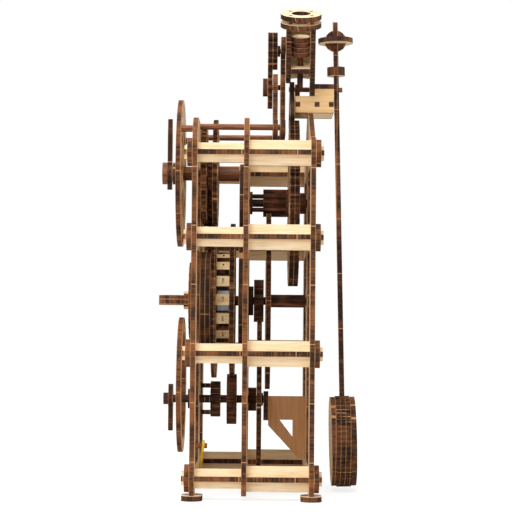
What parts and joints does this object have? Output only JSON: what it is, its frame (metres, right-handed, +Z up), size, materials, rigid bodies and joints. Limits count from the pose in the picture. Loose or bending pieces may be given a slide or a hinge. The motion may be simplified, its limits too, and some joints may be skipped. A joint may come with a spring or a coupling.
{
  "type": "pendulum clock movement",
  "caption": "Free-standing laser-cut plywood pendulum clock with a going train, winding key, dial, long pendulum and a leaning engine cylinder.",
  "frame": {"origin": "centre of the overall box, on the floor that the feet stand on", "axes": "+Z up; -Y towards the front, where the dial is; +Y towards the back, where the pendulum hangs; +X to the side that the engine cylinder leans to"},
  "size_m": [0.167, 0.1225, 0.2952],
  "materials": {
    "birch_face": "laser-cut birch plywood, burnt edges",
    "birch_pale": "laser-cut birch plywood, pale face",
    "birch_burnt": "laser-cut birch plywood, mostly burnt edge",
    "rubber_yellow": "matt rubber band",
    "spring": "rolled spring strip"
  },
  "bodies": {
    "root": {"front_plate": "birch_face", "middle_plate": "birch_face", "back_plate": "birch_face", "feet": "birch_face", "beam_flats": "birch_burnt", "beam_uprights": "birch_pale", "beam_washers": "birch_face", "front_posts": "birch_burnt", "dial_ring": "birch_face", "lower_ring": "birch_face", "top_spacers": "birch_burnt", "bearing_discs": "birch_face", "third_bearing": "birch_face", "gusset": "birch_pale", "bracket_sides": "birch_pale", "bracket_cheeks": "birch_face", "bracket_caps": "birch_face", "bracket_shelf": "birch_pale", "engine_plate": "birch_face", "engine_rear_plate": "birch_face", "cylinder_cheeks": "birch_burnt", "cylinder_shell": "birch_pale", "cylinder_floor": "birch_face", "head_rings": "birch_face", "head_bolts": "birch_burnt", "band_pegs": "birch_burnt", "yellow_band": "rubber_yellow", "click_post": "birch_burnt"},
    "winder": {"winding_arbor": "birch_burnt", "winding_key": "birch_face", "ratchet_wheel": "birch_face"},
    "click": {"click": "birch_pale"},
    "barrel": {"great_wheel": "birch_face", "barrel_drum": "birch_pale", "barrel_caps": "birch_face", "mainspring": "spring"},
    "third": {"third_arbor": "birch_burnt", "third_wheel": "birch_face", "third_gear": "birch_face", "lower_hand": "birch_burnt"},
    "second": {"second_arbor": "birch_burnt", "second_wheel": "birch_face"},
    "escape": {"escape_arbor": "birch_burnt", "escape_wheels": "birch_face"},
    "pendulum": {"pallet_anchor": "birch_burnt", "pivot_arbor": "birch_burnt", "pendulum_rod": "birch_burnt", "bob_faces": "birch_face", "bob_core": "birch_burnt", "top_disc": "birch_face", "small_disc": "birch_face"},
    "minute": {"minute_arbor": "birch_burnt", "dial_wheel": "birch_face", "minute_hand": "birch_burnt"},
    "motion": {"motion_wheel": "birch_face"},
    "hour": {"hour_wheel": "birch_burnt", "hour_hand": "birch_burnt"},
    "engine_drive": {"engine_drive": "birch_burnt"},
    "engine_cam": {"engine_cam": "birch_burnt"},
    "piston": {"piston": "birch_burnt"}
  },
  "joints": [
    {"name": "escape_spin", "type": "hinge", "parent": "root", "child": "escape", "pos_m": [0, 0, 0.17715], "axis": [0, 1, 0], "continuous": true},
    {"name": "second_spin", "type": "hinge", "parent": "root", "child": "second", "pos_m": [0, 0, 0.1164], "axis": [0, 1, 0], "continuous": true},
    {"name": "third_spin", "type": "hinge", "parent": "root", "child": "third", "pos_m": [0, 0, 0.05565], "axis": [0, 1, 0], "continuous": true},
    {"name": "barrel_spin", "type": "hinge", "parent": "root", "child": "barrel", "pos_m": [0, 0, 0.1164], "axis": [0, 1, 0], "continuous": true},
    {"name": "minute_spin", "type": "hinge", "parent": "root", "child": "minute", "pos_m": [0, 0, 0.19515], "axis": [0, 1, 0], "continuous": true},
    {"name": "motion_spin", "type": "hinge", "parent": "root", "child": "motion", "pos_m": [-0.03, 0, 0.17265], "axis": [0, 1, 0], "continuous": true},
    {"name": "hour_spin", "type": "hinge", "parent": "root", "child": "hour", "pos_m": [0, 0, 0.19515], "axis": [0, 1, 0], "continuous": true},
    {"name": "winding_spin", "type": "hinge", "parent": "root", "child": "winder", "pos_m": [0, -0.045, 0.1164], "axis": [0, 1, 0], "continuous": true},
    {"name": "click_lift", "type": "hinge", "parent": "root", "child": "click", "pos_m": [0.0115, -0.041, 0.088], "axis": [0, 1, 0], "range_deg": [-9, 0], "stiffness_Nm_per_rad": 0.0005, "springref_deg": 8.59},
    {"name": "pendulum_swing", "type": "hinge", "parent": "root", "child": "pendulum", "pos_m": [0, 0.04, 0.2482], "axis": [0, 1, 0], "range_deg": [-3, 3]},
    {"name": "engine_drive_spin", "type": "hinge", "parent": "root", "child": "engine_drive", "pos_m": [0, 0, 0.2494], "axis": [0, 1, 0], "continuous": true},
    {"name": "engine_cam_spin", "type": "hinge", "parent": "root", "child": "engine_cam", "pos_m": [0.00313, 0, 0.27168], "axis": [0, 1, 0], "continuous": true},
    {"name": "piston_slide", "type": "slide", "parent": "root", "child": "piston", "axis": [0.3811, 0, 0.9245], "range_m": [-0.003, 0.003]}
  ],
  "couplings": [
    {"joint": "second_spin", "follows": "escape_spin", "ratio": -0.14085},
    {"joint": "third_spin", "follows": "escape_spin", "ratio": 0.03467},
    {"joint": "barrel_spin", "follows": "escape_spin", "ratio": -0.010625},
    {"joint": "minute_spin", "follows": "escape_spin", "ratio": 0.015319},
    {"joint": "motion_spin", "follows": "escape_spin", "ratio": -0.0051064},
    {"joint": "hour_spin", "follows": "escape_spin", "ratio": 0.0012766},
    {"joint": "engine_cam_spin", "follows": "engine_drive_spin", "ratio": -1.1429}
  ]
}
